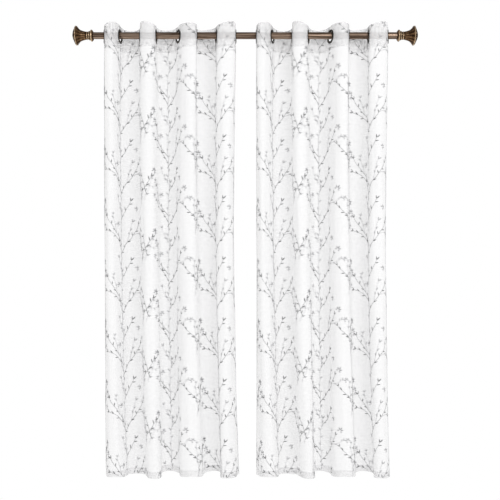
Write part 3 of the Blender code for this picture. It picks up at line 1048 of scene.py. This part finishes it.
bronze, tree, shader = new_material("brushed_bronze", (0.2, 0.13, 0.09), 0.4, metallic=0.85)
streaks = noise_over(tree, (5.0, 210.0, 210.0), Low=0.42, High=0.58)
dark_bronze, pale_bronze = (0.14, 0.092, 0.065), (0.43, 0.31, 0.23)
colours_by(tree, streaks, dark_bronze, pale_bronze, shader.inputs["Base Color"])
spread_by(tree, streaks, 0.50, 0.34, shader.inputs["Roughness"])
bump_by(tree, streaks, shader, 0.00012)
shader.inputs["IOR"].default_value = 1.3

grid, quads, ends = turned(rod_profile, ROD_SIDES)
rod = put_piece("rod_tube", grid.reshape(-1, 3), quads, [bronze], ends=ends)
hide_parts("rod")

# %% [markdown]
# ## The finials
# Each is cast in resin or metal and finished as antique bronze: a collar, a bead, and a
# trumpet whose wall is fluted and flares to a sharp rim, with beads round the dome of its
# mouth. Turning alone gives the profile, and the flutes then shrink the radius as a wave
# round the axis that grows along the trumpet. The real finish is dark, with gold rubbed on
# wherever the casting stands out. A value kept on each point says how proud it is of the
# profile's running mean and of the flutes, and the finish reads it.

# %% Turn and flute the finials
FINIAL_SIDES = 144
FINIAL_STEPS = 160
FLUTES = 12
FLUTE_DEPTH = 0.05
FLUTES_FROM, FLUTES_GROW_OVER = 0.0295, 0.020
RIM_AT, BEADS_END, BEADS_EASE, BEAD_DEPTH = 0.0800, 0.0935, 0.003, 0.09
RELIEF_STEPS, RELIEF_HEIGHT = 11, 0.0008
# Shares of the relief: all over, of the profile, of the flutes, and less of the beads' gaps
RELIEF_BASE, OF_PROFILE, OF_FLUTES, OF_BEADS = 0.38, 0.55, 0.40, 0.40
# How much the blotches add to the relief before it is coloured, and how much it loses first
BLOTCH_SHARE, RELIEF_LOSS = 0.30, 0.12
# Place on the ramp from groove to high spot, and the colour there
GOLD_STOPS = (
    (0.30, (0.105, 0.055, 0.026, 1.0)),
    (0.60, (0.27, 0.157, 0.078, 1.0)),
)
GROOVE_COLOUR, HIGH_COLOUR = (0.014, 0.008, 0.005, 1.0), (0.84, 0.62, 0.40, 1.0)
# Distance out from the rod's end, radius
FINIAL_PROFILE = np.array((
    (0.0003, 0.0170), (0.0018, 0.0205), (0.0040, 0.0240), (0.0065, 0.0268),
    (0.0090, 0.0278), (0.0115, 0.0268), (0.0136, 0.0240), (0.0150, 0.0205),
    (0.0160, 0.0196), (0.0172, 0.0204), (0.0195, 0.0216), (0.0217, 0.0206),
    (0.0232, 0.0178), (0.0245, 0.0166), (0.0258, 0.0174), (0.0275, 0.0188),
    (0.0295, 0.0193), (0.0315, 0.0188), (0.0335, 0.0180), (0.0365, 0.0189),
    (0.0425, 0.0206), (0.0485, 0.0220), (0.0545, 0.0239), (0.0600, 0.0261),
    (0.0645, 0.0287), (0.0685, 0.0322), (0.0720, 0.0362), (0.0750, 0.0401),
    (0.0772, 0.0433), (0.0790, 0.0458), (0.0805, 0.0466), (0.0822, 0.0458),
    (0.0860, 0.0405), (0.0892, 0.0345), (0.0920, 0.0280), (0.0945, 0.0222),
    (0.0965, 0.0162), (0.0987, 0.0096), (0.1005, 0.0020),
))


def finial_shape():
    """The finial along +X from the rod's end, with a relief value from 0 in a groove to 1.

    Flutes and beads both take a share off the radius: half of one less the cosine of their
    count times the angle. The profile's relief is its radius less the mean of its neighbours.
    """
    run = running_length(FINIAL_PROFILE)
    steps = np.linspace(0, run[-1], FINIAL_STEPS)
    profile = read_along(steps, run, FINIAL_PROFILE)
    grid, quads, ends = turned(profile, FINIAL_SIDES)
    angle = np.arctan2(grid[..., 2], grid[..., 1])
    out = grid[..., 0]
    growing = eased((out - FLUTES_FROM) / FLUTES_GROW_OVER)
    beaded = eased((out - RIM_AT) / BEADS_EASE) * eased((BEADS_END - out) / BEADS_EASE)
    wave = 0.5 - 0.5 * np.cos(FLUTES * angle)
    bead = 0.5 - 0.5 * np.cos(2 * FLUTES * angle)
    grid[..., 1:] *= (1 - FLUTE_DEPTH * growing * wave - BEAD_DEPTH * beaded * bead)[..., None]
    shares = np.ones(RELIEF_STEPS) / RELIEF_STEPS
    padded = np.pad(profile[:, 1], RELIEF_STEPS // 2, mode="edge")
    proud = (profile[:, 1] - np.convolve(padded, shares, mode="valid")) / RELIEF_HEIGHT
    relief = RELIEF_BASE + OF_PROFILE * proud[:, None] + OF_FLUTES * growing * (0.5 - wave)
    relief = relief - OF_BEADS * beaded * bead
    return grid, quads, ends, np.clip(relief, 0, 1)


antique, tree, shader = new_material("antique_bronze", (0.3, 0.18, 0.08), 0.4, metallic=0.85)
blotches = noise_over(tree, (110.0, 110.0, 110.0))
relief = add_node(tree, "ShaderNodeAttribute", attribute_name="relief")
proud_places = maths(tree, "SUBTRACT", relief.outputs["Fac"], RELIEF_LOSS)
rubbed_gold = maths(tree, "ADD", maths(tree, "MULTIPLY", blotches, BLOTCH_SHARE), proud_places)
gold = add_node(tree, "ShaderNodeValToRGB")
stops = gold.color_ramp.elements
stops[0].color, stops[1].color = GROOVE_COLOUR, HIGH_COLOUR
for place, colour in GOLD_STOPS:
    stops.new(place).color = colour
tree.links.new(rubbed_gold, gold.inputs["Fac"])
tree.links.new(gold.outputs["Color"], shader.inputs["Base Color"])
spread_by(tree, rubbed_gold, 0.55, 0.26, shader.inputs["Roughness"])
bump_by(tree, blotches, shader, 0.0002)
shader.inputs["IOR"].default_value = 1.3

for side, outward in (("left", -1.0), ("right", 1.0)):
    grid, quads, ends, relief = finial_shape()
    grid[..., 0] = outward * (half + grid[..., 0])
    if outward < 0:
        quads, ends = quads[:, ::-1], [end[::-1] for end in ends]
    name = f"finial_cast_{side}"
    finial = put_piece(name, grid.reshape(-1, 3), quads, [antique], ends=ends, sharp=60)
    layer = finial.data.attributes.new("relief", "FLOAT", "POINT")
    layer.data.foreach_set("value", relief.astype(np.float32).ravel())
    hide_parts(f"finial_{side}")

# %% [markdown]
# ## The eyelets
# Each is pressed from sheet in two halves that are crimped through the cloth: a domed
# flange on each face, joined by a barrel. One closed section is carried once round the
# hole, and the ring is then turned square to the cloth where it hangs.

# %% Press the eyelets
RING_SIDES = 48
# Radius and height above the cloth's middle of the upper half of the section
RING_SECTION = np.array((
    (0.02120, 0.0000), (0.02122, 0.0011), (0.02160, 0.0019), (0.02260, 0.0026),
    (0.02430, 0.0030), (0.02710, 0.0031), (0.02980, 0.0028), (0.03190, 0.0021),
    (0.03285, 0.0014), (0.03300, 0.0009), (0.03270, 0.0007), (0.02290, 0.0007),
))


def ring_points():
    """The section and its mirror image, closed, carried once round Z."""
    upper = RING_SECTION
    lower = upper[:0:-1] * (1, -1)
    section = np.concatenate([upper, lower])
    angle = np.arange(RING_SIDES) * 2 * np.pi / RING_SIDES
    grid = np.stack([
        section[:, :1] * np.cos(angle),
        section[:, :1] * np.sin(angle),
        np.repeat(section[:, 1:], RING_SIDES, axis=1),
    ], axis=-1)
    index = np.arange(len(section) * RING_SIDES).reshape(len(section), RING_SIDES)
    after = np.roll(index, -1, axis=0)
    quads = np.stack([index, after, np.roll(after, -1, 1), np.roll(index, -1, 1)], axis=-1)
    return grid.reshape(-1, 3), quads.reshape(-1, 4)


gunmetal, tree, shader = new_material("gunmetal", (0.05, 0.045, 0.04), 0.4, metallic=0.6)
rubbed = noise_over(tree, (160.0, 160.0, 160.0))
plating, worn_plating = (0.028, 0.025, 0.022), (0.075, 0.066, 0.056)
colours_by(tree, rubbed, plating, worn_plating, shader.inputs["Base Color"])
spread_by(tree, rubbed, 0.50, 0.36, shader.inputs["Roughness"])
bump_by(tree, rubbed, shader, 0.00005)
shader.inputs["IOR"].default_value = 1.25

rings = {}
ring, ring_quads = ring_points()
for side, first_x, leans in PANELS:
    _, ways = fold_lines_at(np.array([0.0]), first_x, leans)
    rings[side] = []
    for number, drop in enumerate(drops[side]):
        turn = Matrix.Rotation(math.atan2(ways[0, number, 1], ways[0, number, 0]), 3, "Z")
        turn = np.array(turn @ Matrix.Rotation(math.pi / 2, 3, "X"))
        points = ring @ turn.T + (first_x + FOLD_LINES[number, 0], 0.0, -drop)
        name = f"ring_{side}_{number + 1}"
        made = put_piece(name, points, ring_quads, [gunmetal], sharp=50)
        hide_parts(f"eyelet_{side}_{number + 1}")
        rings[side].append(made)

# %% [markdown]
# ## The studio floor
# A plain pale floor under the curtains. Its far edge would show as a line through the sheer
# cloth wherever floor and backdrop differ in brightness. So the camera sees the floor as
# white as the backdrop, while light bounces off it as off pale card. A Light Path node tells
# the two kinds of ray apart: for the camera the card is black and glows by itself.

# %% Lay the floor
FLOOR_HEIGHT, FLOOR_RADIUS, FLOOR_SIDES = -2.30, 2.4, 128

around = np.arange(FLOOR_SIDES) * 2 * math.pi / FLOOR_SIDES
disc = np.stack([
    FLOOR_RADIUS * np.cos(around), FLOOR_RADIUS * np.sin(around),
    np.full(FLOOR_SIDES, FLOOR_HEIGHT),
], axis=-1)
floor_mesh = bpy.data.meshes.new("floor")
floor_mesh.from_pydata(disc.tolist(), [], [list(range(FLOOR_SIDES))])
floor_paint, tree, shader = new_material("floor_paint", (0.9, 0.9, 0.9), 0.9)
ray = add_node(tree, "ShaderNodeLightPath")
for_camera = ray.outputs["Is Camera Ray"]
colours_by(tree, for_camera, (0.9, 0.9, 0.9), (0.0, 0.0, 0.0), shader.inputs["Base Color"])
tree.links.new(for_camera, shader.inputs["Emission Strength"])
shader.inputs["Emission Color"].default_value = (1.0, 1.0, 1.0, 1.0)
shader.inputs["Specular IOR Level"].default_value = 0.0
floor_mesh.materials.append(floor_paint)
floor = bpy.data.objects.new("floor", floor_mesh)
bpy.context.scene.collection.objects.link(floor)
